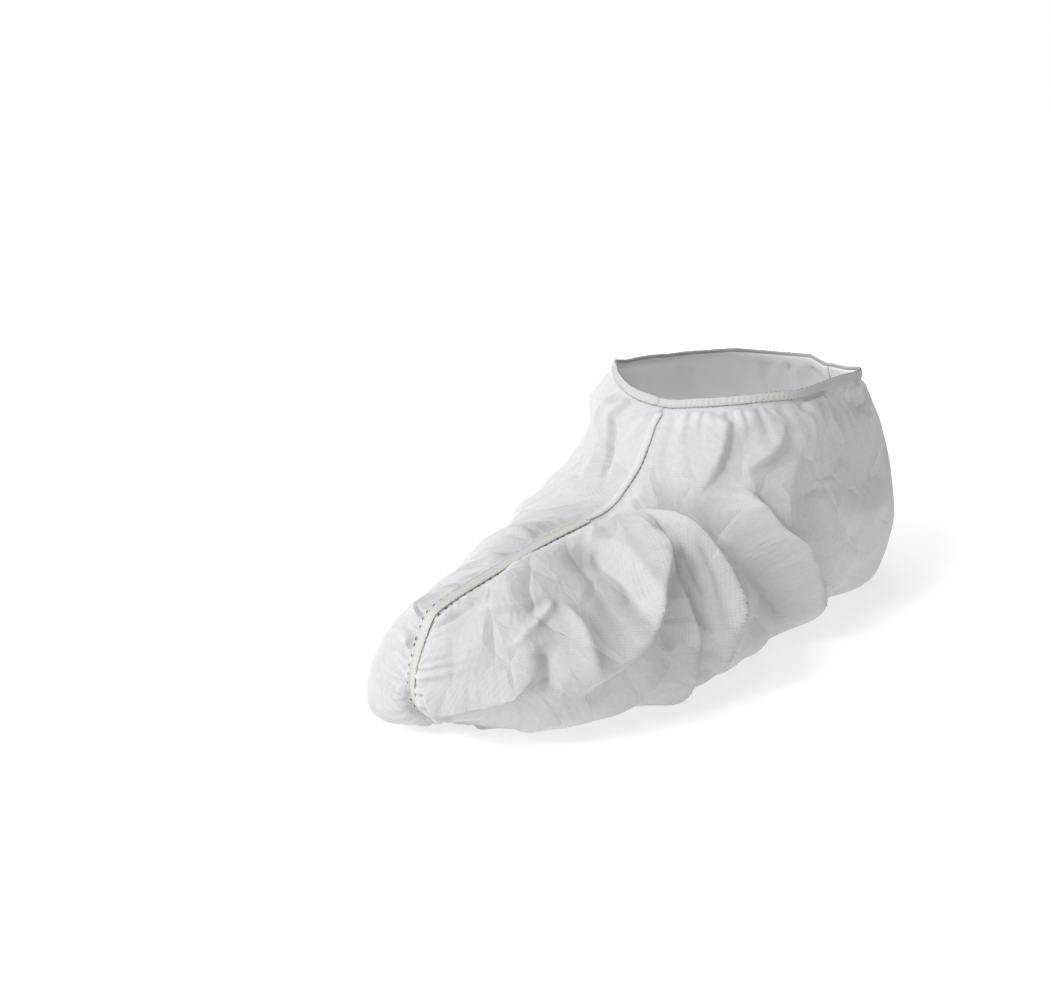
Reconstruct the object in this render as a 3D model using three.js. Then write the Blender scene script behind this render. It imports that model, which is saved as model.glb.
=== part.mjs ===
import * as THREE from 'three';

// A disposable ankle-high shoe cover of thin nonwoven fabric: two panels joined by a centre seam,
// a ribbed elastic tape that gathers the toe, and an elastic tape that binds the opening.
// Millimetres, +Z up. The toe points along -Y and the wearer's left is +X.

// Cloth and tapes
const WALL = 1.1;
const CLEARANCE = 0.3;
const EDGE_GAP = 0.15;
const SEAM_BAND = 3.7;
const TAPE_HALF_WIDTH = 3.2;
const TAPE_THICKNESS = 0.8;
const WELT_HALF_WIDTH = 1.5;
const WELT_THICKNESS = 1.0;
const BINDING_HEIGHT = 6;
const BINDING_THICKNESS = 0.8;
const LAP_THICKNESS = 0.6;
const SOLE_STRIP_HALF_WIDTH = 3;
const SOLE_STRIP_THICKNESS = 1;

// How the cloth rises beside the seam band and settles back to it
const PUFF_REACH = 8;
const PUFF_SPAN = 1.6;

// Folds die away over this distance beside the seam band, and over this many sections below the
// collar. A fold's route is split into this many steps.
const FOLD_MARGIN = 10;
const COLLAR_MARGIN = 0.7;
const FOLD_STEPS = 24;
const GATHER_UNEVENNESS = 0.5;
const GATHER_BEAT = 1.7;

// The lapped end of the collar tape: how many mesh columns it spans and how sharp its step is.
const LAP_COLUMNS = 6;
const LAP_STEP = 0.4;

// Where the toe tape starts above the instep section and ends behind the toe box, in mesh rows.
const TAPE_START_ROWS = -1;
const TAPE_END_ROWS = -2;

const FABRIC_COLOUR = 0xe4e5e7;
const FABRIC_ROUGHNESS = 0.8;
const TAPE_COLOUR = 0xdedcd2;
const TAPE_ROUGHNESS = 0.85;

// Mesh cells from the instep round to the sole, closer together beside the instep seam
const COLUMNS = 23;
const COLUMN_CROWDING = 1.35;

const table = (names, rows) =>
  rows.map((row) => Object.fromEntries(names.map((name, i) => [name, row[i]])));

// The seam line, in the plane of symmetry. A section runs from its top point, on the instep, round
// the side to its foot point, on the sole or the heel; cells is the number of mesh rows up to the
// next section.
const SEAM = table(['section', 'topY', 'topZ', 'footY', 'footZ', 'cells'], [
  ['toe_seam', -183, 66, -159, 3, 2],
  ['toe_cleft', -182, 66.5, -157, 2.8, 4],
  ['toe_lobe', -178, 68, -152, 2.5, 3],
  ['toe_box', -162, 72, -140, 2, 4],
  ['vamp_front', -134, 77, -108, -2, 4],
  ['vamp', -104, 82, -68, -3, 4],
  ['instep', -74, 85, -20, -3, 4],
  ['instep_bend', -50, 88, 40, -3, 4],
  ['ankle_low', -34, 97, 105, -3, 5],
  ['heel_low', -22, 107, 172, -2, 5],
  ['heel_mid', -15, 117, 207, 46, 5],
  ['heel_high', -10, 124, 196, 96, 3],
  ['collar_foot', -3, 129, 176, 127, 1],
  ['rim', 0, 135, 174, 134, 0],
]);

// How far each section swells: its half width, the part of its height where it is widest, how far
// it bows towards the toe and how low that bow sits, the roundness of its upper and lower halves
// (2 is an ellipse, more is squarer), and how far the cloth puffs up beside the seam at either end.
const SWELL = ['width', 'widest', 'bow', 'bowLow', 'upper', 'lower', 'puffTop', 'puffFoot'];
const PANEL_SECTIONS = {
  left: table(SWELL, [
    [SEAM_BAND, 0.5, 24, 1, 2, 2, 0, 0],
    [9, 0.5, 28, 0.8, 2, 2, 2, 3],
    [33, 0.48, 15, 0.7, 2, 2, 3, 3],
    [57, 0.5, 9, 0.8, 2.1, 2.3, 6, 3],
    [68, 0.5, 4, 1, 2.1, 2.6, 8, 2],
    [76, 0.5, 0, 1, 2, 2.9, 8, 0],
    [79, 0.48, 0, 1, 2, 3.2, 6, 0],
    [77, 0.45, 0, 1, 2, 2.8, 3, 0],
    [74, 0.38, 0, 1, 2, 2.5, 1, 0],
    [76, 0.36, 0, 1, 2, 2.4, 0, 0],
    [72, 0.36, 0, 1, 2, 2.3, 0, 0],
    [66, 0.32, -6, 1, 2, 2.1, 0, 0],
    [59, 0.28, -10, 1, 2, 2, 0, 0],
    [58, 0.28, -10, 1, 2, 2, 0, 0],
  ]),
  right: table(SWELL, [
    [SEAM_BAND, 0.5, 24, 1, 2, 2, 0, 0],
    [8, 0.5, 30, 1.2, 2, 2.6, 2, 5],
    [30, 0.48, 37, 1.3, 2.2, 3, 2, 6],
    [43, 0.54, 24, 1.2, 2, 3.2, 0, 5],
    [52, 0.6, 8, 1, 2, 3.2, 0, 2],
    [62, 0.55, 0, 1, 2, 3.2, 4, 0],
    [74, 0.5, 0, 1, 2, 3.2, 5, 0],
    [86, 0.43, 0, 1, 2, 3, 4, 0],
    [88, 0.35, 0, 1, 2, 2.6, 1, 0],
    [83, 0.3, 0, 1, 2, 2.4, 0, 0],
    [80, 0.26, 0, 1, 2, 2.3, 0, 0],
    [80, 0.24, -8, 1, 2, 2.1, 0, 0],
    [65, 0.24, -12, 0.8, 2, 2, 0, 0],
    [63, 0.24, -12, 0.8, 2, 2, 0, 0],
  ]),
};

// Folds of the cloth. A route is a list of places [section, turn]: the section is counted from the
// toe seam, and the turn runs from 0 on the instep seam to 1 on the sole seam. Rise is the height
// of the ridge, negative for a hollow. LeftReach and rightReach are how far it spreads to either
// side of the route on the +X panel (the other way round on the -X panel), and fadeIn and fadeOut
// are the parts of its length over which it dies away.
const FOLD = ['fold', 'rise', 'leftReach', 'rightReach', 'fadeIn', 'fadeOut', 'route'];
const PANEL_FOLDS = {
  left: table(FOLD, [
    ['crescent', 9, 20, 32, 0.4, 0.35,
      [[7.6, 0.05], [7.2, 0.2], [6.9, 0.31], [6.6, 0.4], [6.3, 0.49], [5.9, 0.56], [5.2, 0.66]]],
    ['behind_crescent', -7, 34, 16, 0.3, 0.3,
      [[7.9, 0.12], [7.6, 0.26], [7.5, 0.38], [7.4, 0.5], [7.2, 0.6]]],
    ['middle_ridge', 5, 9, 16, 0.3, 0.3, [[7.1, 0.08], [6.2, 0.19], [5.7, 0.3], [5.2, 0.45], [4.8, 0.6]]],
    ['side_bulge', 10, 20, 40, 0.5, 0.3,
      [[6.2, 0.08], [5.8, 0.23], [5.3, 0.32], [4.9, 0.38], [4.2, 0.47], [3.4, 0.53], [3, 0.62]]],
    ['behind_bulge', -4, 14, 12, 0.3, 0.3, [[5.8, 0.32], [5.1, 0.43], [4.3, 0.52], [3.8, 0.62]]],
    ['tape_hollow', -7, 14, 12, 0.1, 0.4, [[4.5, 0.05], [4.1, 0.12], [3.9, 0.2], [3.8, 0.31]]],
    ['toe_ridge', 4, 12, 10, 0.4, 0.4, [[3.8, 0.18], [3.3, 0.25], [2.8, 0.31]]],
    ['toe_crease', -3, 8, 8, 0.3, 0.5, [[1.4, 0.58], [2, 0.52], [2.8, 0.46]]],
    ['heel_shelf', 5, 22, 8, 0.4, 0.4, [[9, 0.4], [9.7, 0.42], [10.2, 0.55]]],
    ['heel_corner', 4, 10, 16, 0.4, 0.4, [[8.4, 0.36], [8.3, 0.46], [8.2, 0.58]]],
    ['collar_pleat_a', 3, 8, 9, 0.1, 0.5, [[12, 0.19], [10.5, 0.18], [8.7, 0.16]]],
    ['collar_pleat_b', 3, 8, 9, 0.1, 0.5, [[12, 0.34], [10.8, 0.28], [9.4, 0.23]]],
    ['ankle_ridge', 5, 9, 18, 0.3, 0.4, [[9.8, 0.22], [9.1, 0.28], [8.6, 0.35], [8.4, 0.42]]],
  ]),
  right: table(FOLD, [
    ['front_pleat', -4, 6, 6, 0.1, 0.4, [[12, 0.12], [10.6, 0.09], [8.9, 0.06], [7.3, 0.03]]],
    ['beside_pleat', 4, 7, 12, 0.1, 0.4, [[12, 0.19], [10.5, 0.16], [8.8, 0.12], [7.5, 0.1]]],
    ['crescent', 7, 20, 30, 0.5, 0.4, [[7.2, 0.24], [6.9, 0.36], [6.4, 0.47], [5.4, 0.62]]],
    ['behind_crescent', -6, 28, 12, 0.3, 0.3, [[8, 0.2], [7.6, 0.36], [7.3, 0.54]]],
    ['side_bulge', 7, 20, 30, 0.5, 0.3, [[5.2, 0.3], [4.8, 0.4], [4.3, 0.49], [3.4, 0.6]]],
    ['heel_shelf', 4, 20, 9, 0.4, 0.4, [[8.8, 0.4], [9.6, 0.43], [10.2, 0.56]]],
  ]),
};

// Gathers: a ripple of the cloth beside an elastic, as its pitch along the elastic, its height,
// how far out it reaches, and the sections that it runs between.
const COLLAR_GATHERS = { pitch: 25, rise: 1.6, reach: 26, from: 0, to: 13 };
const TOE_GATHERS = { pitch: 19, rise: 1.3, reach: 16, from: 0, to: 6 };

const COLLAR_FOOT = SEAM.findIndex((row) => row.section === 'collar_foot');

// Smooth value of one column of a table at a place counted in rows.
function along(rows, name, place) {
  const last = rows.length - 1;
  const i = Math.min(Math.floor(place), last - 1);
  const t = place - i;
  const here = rows[i][name];
  const next = rows[i + 1][name];
  const before = i > 0 ? rows[i - 1][name] : 2 * here - next;
  const after = i + 2 <= last ? rows[i + 2][name] : 2 * next - here;
  const slope = next - before;
  const bend = 2 * before - 5 * here + 4 * next - after;
  const twist = 3 * here - before - 3 * next + after;
  return here + 0.5 * t * (slope + t * (bend + t * twist));
}

const smooth = (value) => {
  const t = THREE.MathUtils.clamp(value, 0, 1);
  return t * t * (3 - 2 * t);
};

// A point of a panel's outer face before its folds, for the panel on the +X side.
function swollenPoint(sections, s, turn) {
  const at = (name) => along(sections, name, s);
  const angle = Math.PI * turn;
  const top = new THREE.Vector2(along(SEAM, 'topY', s), along(SEAM, 'topZ', s));
  const chord = new THREE.Vector2(along(SEAM, 'footY', s), along(SEAM, 'footZ', s)).sub(top);
  const height = chord.length();
  const down = chord.normalize();
  const roundness = turn < 0.5 ? at('upper') : at('lower');
  const out = Math.max(Math.sin(angle), 0) ** (2 / roundness);
  const fall = Math.abs(Math.cos(angle)) ** (2 / roundness);
  const widest = at('widest');
  const depth = turn < 0.5 ? widest * (1 - fall) : widest + (1 - widest) * fall;
  const beside = out * (at('width') - SEAM_BAND);
  const rise = 1 - Math.exp(-((beside / PUFF_REACH) ** 2));
  const puffTop = at('puffTop') * rise * Math.max(1 - PUFF_SPAN * depth, 0);
  const puffFoot = at('puffFoot') * rise * Math.max(1 - PUFF_SPAN * (1 - depth), 0);
  const bow = at('bow') * Math.sin(Math.PI * depth ** at('bowLow'));
  const drop = height * depth - puffTop + puffFoot;
  const y = top.x + down.x * drop + down.y * bow;
  const z = top.y + down.y * drop - down.x * bow;
  return new THREE.Vector3(SEAM_BAND + beside, y, Math.max(z, 0));
}

// The height of the folds at a point of the unfolded cloth, measured along its outward direction.
function foldRise(folds, point, outward) {
  const foot = new THREE.Vector3();
  const offset = new THREE.Vector3();
  let total = 0;
  for (const { rise, leftReach, rightReach, fadeIn, fadeOut, line } of folds) {
    let nearest = Infinity;
    let height = 0;
    line.forEach((step, k) => {
      step.closestPointToPoint(point, true, foot);
      offset.subVectors(point, foot);
      const distance = offset.length();
      if (distance >= nearest) return;
      nearest = distance;
      const forward = step.delta(new THREE.Vector3());
      const toLeft = forward.clone().crossVectors(outward, forward).dot(offset) > 0;
      const spread = Math.min(distance / (toLeft ? leftReach : rightReach), 1);
      const passed = (k + step.closestPointToPointParameter(point, true)) / line.length;
      height = rise * (1 - spread ** 2) ** 2 * smooth(passed / fadeIn) * smooth((1 - passed) / fadeOut);
    });
    total += height;
  }
  return total;
}

// The mesh places along a panel, from the toe seam to the rim, and across it.
const places = SEAM.flatMap((row, i) =>
  Array.from({ length: row.cells }, (_, k) => i + k / row.cells)).concat(SEAM.length - 1);
const turns = Array.from({ length: COLUMNS + 1 }, (_, j) => (j / COLUMNS) ** COLUMN_CROWDING);
const lastRow = places.length - 1;
const footRow = places.indexOf(COLLAR_FOOT);
const index = (i, j) => i * turns.length + j;

function solid(points, faces) {
  const geometry = new THREE.BufferGeometry().setFromPoints(points);
  geometry.setIndex(faces.flat());
  geometry.computeVertexNormals();
  return geometry;
}

function normalsOf(points, faces) {
  const { normal } = solid(points, faces).attributes;
  return points.map((_, i) => new THREE.Vector3().fromBufferAttribute(normal, i));
}

const quad = (a, b, c, d) => [[a, b, c], [a, c, d]];

// An open sheet thickened inwards along its normals and closed round its edges.
function thicken(points, faces, wall) {
  const normals = normalsOf(points, faces);
  const inner = points.map((point, i) => point.clone().addScaledVector(normals[i], -wall));
  const count = points.length;
  const inside = faces.map(([a, b, c]) => [a + count, c + count, b + count]);
  const edges = new Set(faces.flatMap(([a, b, c]) => [`${a},${b}`, `${b},${c}`, `${c},${a}`]));
  const hem = [...edges]
    .map((edge) => edge.split(',').map(Number))
    .filter(([a, b]) => !edges.has(`${b},${a}`))
    .flatMap(([a, b]) => quad(b, a, a + count, b + count));
  return solid(points.concat(inner), [...faces, ...inside, ...hem]);
}

// How far along a line of points each point lies.
function lengthsAlong(line) {
  const lengths = [0];
  for (let k = 1; k < line.length; k += 1) {
    lengths.push(lengths[k - 1] + line[k].distanceTo(line[k - 1]));
  }
  return lengths;
}

// The height of a gather's ripple, at a place along its elastic and a distance beside it.
function ripple({ pitch, rise, reach, from, to }, s, place, distance) {
  if (s < from || s > to) return 0;
  const phase = (2 * Math.PI * place) / pitch;
  const wave = Math.sin(phase) + GATHER_UNEVENNESS * Math.sin(GATHER_BEAT * phase);
  return rise * wave * Math.exp(-((distance / reach) ** 2));
}

// Outlines of the grid: round the instep, toe, sole and heel, from rim to rim.
const border = [
  ...places.map((_, i) => index(lastRow - i, 0)).slice(0, -1),
  ...turns.map((_, j) => index(0, j)).slice(0, -1),
  ...places.map((_, i) => index(i, turns.length - 1)),
];

// The faces of a panel's grid, and of the flat seam band between its border and its edge.
function panelFaces() {
  const faces = [];
  for (let i = 0; i < lastRow; i += 1) {
    for (let j = 0; j + 1 < turns.length; j += 1) {
      faces.push(...quad(index(i, j), index(i, j + 1), index(i + 1, j + 1), index(i + 1, j)));
    }
  }
  const gridFaces = faces.length;
  const edge = places.length * turns.length;
  for (let k = 0; k + 1 < border.length; k += 1) {
    faces.push(...quad(edge + k, edge + k + 1, border[k + 1], border[k]));
  }
  return { faces, gridFaces };
}

// The grid of a panel with its folds and gathers, none of which reach the seam band or the collar.
function foldedGrid(name, gridFaces) {
  const place = ([s, turn]) => swollenPoint(PANEL_SECTIONS[name], s, turn);
  const folds = PANEL_FOLDS[name].map((fold) => {
    const steps = new THREE.CatmullRomCurve3(fold.route.map(place)).getPoints(FOLD_STEPS);
    const line = steps.slice(1).map((end, k) => new THREE.Line3(steps[k], end));
    return { ...fold, line };
  });
  const grid = places.flatMap((s) => turns.map((turn) => place([s, turn])));
  const outward = normalsOf(grid, gridFaces);
  const collar = turns.map((_, j) => grid[index(footRow, j)]);
  const roundCollar = lengthsAlong(collar);
  const alongSeam = lengthsAlong(border.map((b) => grid[b]));
  return grid.map((point, k) => {
    const row = Math.floor(k / turns.length);
    const column = k % turns.length;
    const s = places[row];
    const nearestOnSeam = border.indexOf(column < row ? index(row, 0) : index(0, column));
    const beside = point.x - SEAM_BAND;
    const below = point.distanceTo(collar[column]);
    const free = smooth(beside / FOLD_MARGIN) * smooth((COLLAR_FOOT - s) / COLLAR_MARGIN);
    const rise = foldRise(folds, point, outward[k])
      + ripple(COLLAR_GATHERS, s, roundCollar[column], below)
      + ripple(TOE_GATHERS, s, alongSeam[nearestOnSeam], beside);
    const folded = point.clone().addScaledVector(outward[k], rise * free);
    return folded.max(new THREE.Vector3(SEAM_BAND, -Infinity, 0));
  });
}

// One fabric panel, worked out on the +X side. Its grid ends at the seam band, a narrow flat
// border that follows the seam line down the instep, round the toe, along the sole and up the heel.
function makePanel(side, name) {
  const { faces, gridFaces } = panelFaces();
  const grid = foldedGrid(name, faces.slice(0, gridFaces));
  const edge = border.map((b) => new THREE.Vector3(EDGE_GAP, grid[b].y, grid[b].z));
  const points = [...grid, ...edge].map((point) => point.multiply(new THREE.Vector3(side, 1, 1)));
  const facing = side > 0 ? faces : faces.map(([a, b, c]) => [a, c, b]);
  const normals = normalsOf(points, facing);
  const row = (i, list) => turns.map((_, j) => list[index(i, j)]);
  return {
    geometry: thicken(points, facing, WALL),
    seamLine: edge.map((point) => new THREE.Vector2(point.y, point.z)),
    rim: row(lastRow, points),
    rimFoot: row(footRow, points),
    rimNormals: row(lastRow, normals),
  };
}

// A closed body through a list of rings of points, all with the same number of points.
function loft(rings, closed) {
  const sides = rings[0].length;
  const faces = [];
  const count = closed ? rings.length : rings.length - 1;
  for (let i = 0; i < count; i += 1) {
    const here = i * sides;
    const next = ((i + 1) % rings.length) * sides;
    for (let k = 0; k < sides; k += 1) {
      const l = (k + 1) % sides;
      faces.push(...quad(here + k, here + l, next + l, next + k));
    }
  }
  if (!closed) {
    const end = (rings.length - 1) * sides;
    for (let k = 1; k + 1 < sides; k += 1) {
      faces.push([0, k + 1, k], [end, end + k, end + k + 1]);
    }
  }
  return solid(rings.flat(), faces);
}

// A flat strip along the seam line, between two of its places and between two heights above it.
function seamStrip(seamLine, first, last, halfWidth, low, high) {
  const rings = [];
  for (let k = first; k <= last; k += 1) {
    const before = seamLine[k].clone().sub(seamLine[Math.max(k - 1, 0)]).normalize();
    const after = seamLine[Math.min(k + 1, seamLine.length - 1)].clone().sub(seamLine[k]).normalize();
    if (before.length() === 0) before.copy(after);
    if (after.length() === 0) after.copy(before);
    const tangent = before.clone().add(after).normalize();
    const stretch = 1 / tangent.dot(after);
    const out = new THREE.Vector2(tangent.y, -tangent.x).multiplyScalar(stretch);
    const corner = (x, height) => new THREE.Vector3(
      x, seamLine[k].x + out.x * height, seamLine[k].y + out.y * height);
    rings.push([
      corner(-halfWidth, low),
      corner(halfWidth, low),
      corner(halfWidth, high),
      corner(-halfWidth, high),
    ]);
  }
  return loft(rings, false);
}

// The collar tape: folded over the edge of the opening, as a channel that follows the rim all the
// way round. Its last stretch laps over its start beside the instep seam.
function collarBinding(left, right) {
  const half = (panel) => panel.rim.map((point, j) => {
    const up = point.clone().sub(panel.rimFoot[j]).normalize();
    const out = panel.rimNormals[j].clone().addScaledVector(up, -panel.rimNormals[j].dot(up)).normalize();
    return { point, up, out, lap: 0 };
  });
  const leftHalf = half(left);
  const rightHalf = half(right).reverse();
  const lapped = rightHalf.slice(-LAP_COLUMNS);
  lapped.forEach((station) => { station.lap = LAP_THICKNESS; });
  const end = lapped[lapped.length - 1];
  const shifted = end.point.clone();
  shifted.x += LAP_STEP;
  const bare = { ...end, point: shifted, lap: 0 };
  const outer = CLEARANCE + BINDING_THICKNESS;
  const rings = [...leftHalf, ...rightHalf, bare].map(({ point, up, out, lap }) => {
    const corner = (across, height) =>
      point.clone().addScaledVector(out, across).addScaledVector(up, height);
    return [
      corner(CLEARANCE, -BINDING_HEIGHT),
      corner(CLEARANCE, CLEARANCE),
      corner(-WALL - CLEARANCE, CLEARANCE),
      corner(-WALL - CLEARANCE, -BINDING_HEIGHT),
      corner(-WALL - outer, -BINDING_HEIGHT),
      corner(-WALL - outer, outer + lap / 2),
      corner(outer + lap, outer + lap / 2),
      corner(outer + lap, -BINDING_HEIGHT),
    ];
  });
  return loft(rings, true);
}

const left = makePanel(1, 'left');
const right = makePanel(-1, 'right');
const { seamLine } = left;

// Places on the seam line, counted in mesh rows from the rim down the instep and round the toe.
const rowsDown = (section) => lastRow - places.indexOf(SEAM.findIndex((row) => row.section === section));
const tapeStart = rowsDown('instep') + TAPE_START_ROWS;
const toeEnd = lastRow + turns.length - 1;
const tapeEnd = toeEnd + lastRow - rowsDown('toe_box') + TAPE_END_ROWS;
const collarStart = rowsDown('collar_foot') + 1;
const soleStart = tapeEnd + 2;
const soleEnd = seamLine.length - 1 - collarStart;

const cover = new THREE.Group();
function add(name, geometry, color, roughness) {
  const material = new THREE.MeshStandardMaterial({ color, roughness, metalness: 0 });
  const mesh = new THREE.Mesh(geometry, material);
  mesh.name = name;
  cover.add(mesh);
}

const above = (thickness) => [CLEARANCE, CLEARANCE + thickness];
add('left_panel', left.geometry, FABRIC_COLOUR, FABRIC_ROUGHNESS);
add('right_panel', right.geometry, FABRIC_COLOUR, FABRIC_ROUGHNESS);
add('front_seam',
  seamStrip(seamLine, collarStart, tapeStart - 1, WELT_HALF_WIDTH, ...above(WELT_THICKNESS)),
  FABRIC_COLOUR, FABRIC_ROUGHNESS);
add('toe_elastic',
  seamStrip(seamLine, tapeStart, tapeEnd, TAPE_HALF_WIDTH, ...above(TAPE_THICKNESS)),
  TAPE_COLOUR, TAPE_ROUGHNESS);
add('sole_seam',
  seamStrip(seamLine, soleStart, soleEnd, SOLE_STRIP_HALF_WIDTH,
    -WALL - CLEARANCE - SOLE_STRIP_THICKNESS, -WALL - CLEARANCE),
  FABRIC_COLOUR, FABRIC_ROUGHNESS);
add('collar_binding', collarBinding(left, right), TAPE_COLOUR, TAPE_ROUGHNESS);

// The origin: on the floor, under the middle of the cover.
const box = new THREE.Box3().setFromObject(cover, true);
const middle = box.getCenter(new THREE.Vector3());
cover.position.set(-middle.x, -middle.y, -box.min.z);

export default cover;
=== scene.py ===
import math

import bpy
import numpy as np
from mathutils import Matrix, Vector


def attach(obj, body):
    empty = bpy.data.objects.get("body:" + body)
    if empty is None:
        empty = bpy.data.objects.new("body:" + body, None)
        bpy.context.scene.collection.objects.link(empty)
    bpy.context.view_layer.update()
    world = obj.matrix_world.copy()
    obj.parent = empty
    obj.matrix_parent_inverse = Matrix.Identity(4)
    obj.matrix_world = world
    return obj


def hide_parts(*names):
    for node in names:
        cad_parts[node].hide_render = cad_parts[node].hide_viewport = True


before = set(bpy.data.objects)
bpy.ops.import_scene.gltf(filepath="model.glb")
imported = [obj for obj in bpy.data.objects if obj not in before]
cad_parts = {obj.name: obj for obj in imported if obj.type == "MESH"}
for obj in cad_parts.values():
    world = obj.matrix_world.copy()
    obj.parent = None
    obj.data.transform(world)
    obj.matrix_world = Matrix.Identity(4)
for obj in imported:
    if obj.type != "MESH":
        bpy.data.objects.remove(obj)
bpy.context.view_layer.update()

# ---------------------------------------------------------------------------------------------
# The fabric panels. Two mirrored pieces of thin white nonwoven, bonded to a film and embossed with
# a fine square grid, are sewn together down the instep, round the toe and along the sole.
# The cover is stuffed to a foot's form, so the slack cloth falls in broad folds.

# Lengths are millimetres from the front of the collar, at the height of the floor. MIDDLE moves
# that place to where the frame has it.
MIDDLE = np.array([0.409, -4.305, 0.0])
SEAM_BAND = 3.7
EDGE_GAP = 0.15
PUFF_REACH = 8
PUFF_SPAN = 1.6
FOLD_MARGIN = 7
COLLAR_MARGIN = 0.7
FOLD_STEPS = 40
FABRIC_THICKNESS = 0.35
FABRIC_COLOUR = (0.57, 0.572, 0.578)
FABRIC_LINES = (0.4, 0.402, 0.412)
GRID_PITCH = 1.25
GRID_LINE = 0.3
SHEET = 500.0


def table(columns, rows):
    return {name: np.array([row[i] for row in rows]) for i, name in enumerate(columns)}


SEAM = table(["section", "top_y", "top_z", "foot_y", "foot_z"], [
    ["toe_seam", -183, 66, -159, 3],
    ["toe_cleft", -182, 66.5, -157, 2.8],
    ["toe_lobe", -178, 68, -152, 2.5],
    ["toe_box", -162, 72, -140, 2],
    ["vamp_front", -134, 77, -108, -2],
    ["vamp", -104, 82, -68, -3],
    ["instep", -74, 85, -20, -3],
    ["instep_bend", -50, 88, 40, -3],
    ["ankle_low", -34, 97, 105, -3],
    ["heel_low", -22, 107, 172, -2],
    ["heel_mid", -15, 117, 207, 46],
    ["heel_high", -10, 124, 196, 96],
    ["collar_foot", -3, 129, 176, 127],
    ["rim", 0, 135, 174, 134],
])
SECTIONS = list(SEAM["section"])
for column in ("top_y", "top_z", "foot_y", "foot_z"):
    SEAM[column] = SEAM[column].astype(float)

SWELL = ["width", "widest", "bow", "bow_low", "upper", "lower", "puff_top", "puff_foot"]
PANEL_SECTIONS = {
    "left": table(SWELL, [
        [SEAM_BAND, 0.5, 24, 1, 2, 2, 0, 0],
        [9, 0.5, 28, 0.8, 2, 2, 2, 3],
        [33, 0.48, 15, 0.7, 2, 2, 3, 3],
        [57, 0.5, 9, 0.8, 2.1, 2.3, 6, 3],
        [68, 0.5, 4, 1, 2.1, 2.6, 8, 2],
        [76, 0.5, 0, 1, 2, 2.9, 8, 0],
        [79, 0.48, 0, 1, 2, 3.2, 6, 0],
        [77, 0.45, 0, 1, 2, 2.8, 3, 0],
        [74, 0.38, 0, 1, 2, 2.5, 1, 0],
        [76, 0.36, 0, 1, 2, 2.4, 0, 0],
        [72, 0.36, 0, 1, 2, 2.3, 0, 0],
        [66, 0.32, -6, 1, 2, 2.1, 0, 0],
        [59, 0.28, -10, 1, 2, 2, 0, 0],
        [58, 0.28, -10, 1, 2, 2, 0, 0],
    ]),
    "right": table(SWELL, [
        [SEAM_BAND, 0.5, 24, 1, 2, 2, 0, 0],
        [8, 0.5, 30, 1.2, 2, 2.6, 2, 5],
        [30, 0.48, 37, 1.3, 2.2, 3, 2, 6],
        [43, 0.54, 24, 1.2, 2, 3.2, 0, 5],
        [52, 0.6, 8, 1, 2, 3.2, 0, 2],
        [62, 0.55, 0, 1, 2, 3.2, 4, 0],
        [74, 0.5, 0, 1, 2, 3.2, 5, 0],
        [86, 0.43, 0, 1, 2, 3, 4, 0],
        [88, 0.35, 0, 1, 2, 2.6, 1, 0],
        [83, 0.3, 0, 1, 2, 2.4, 0, 0],
        [80, 0.26, 0, 1, 2, 2.3, 0, 0],
        [80, 0.24, -8, 1, 2, 2.1, 0, 0],
        [65, 0.24, -12, 0.8, 2, 2, 0, 0],
        [63, 0.24, -12, 0.8, 2, 2, 0, 0],
    ]),
}

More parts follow.
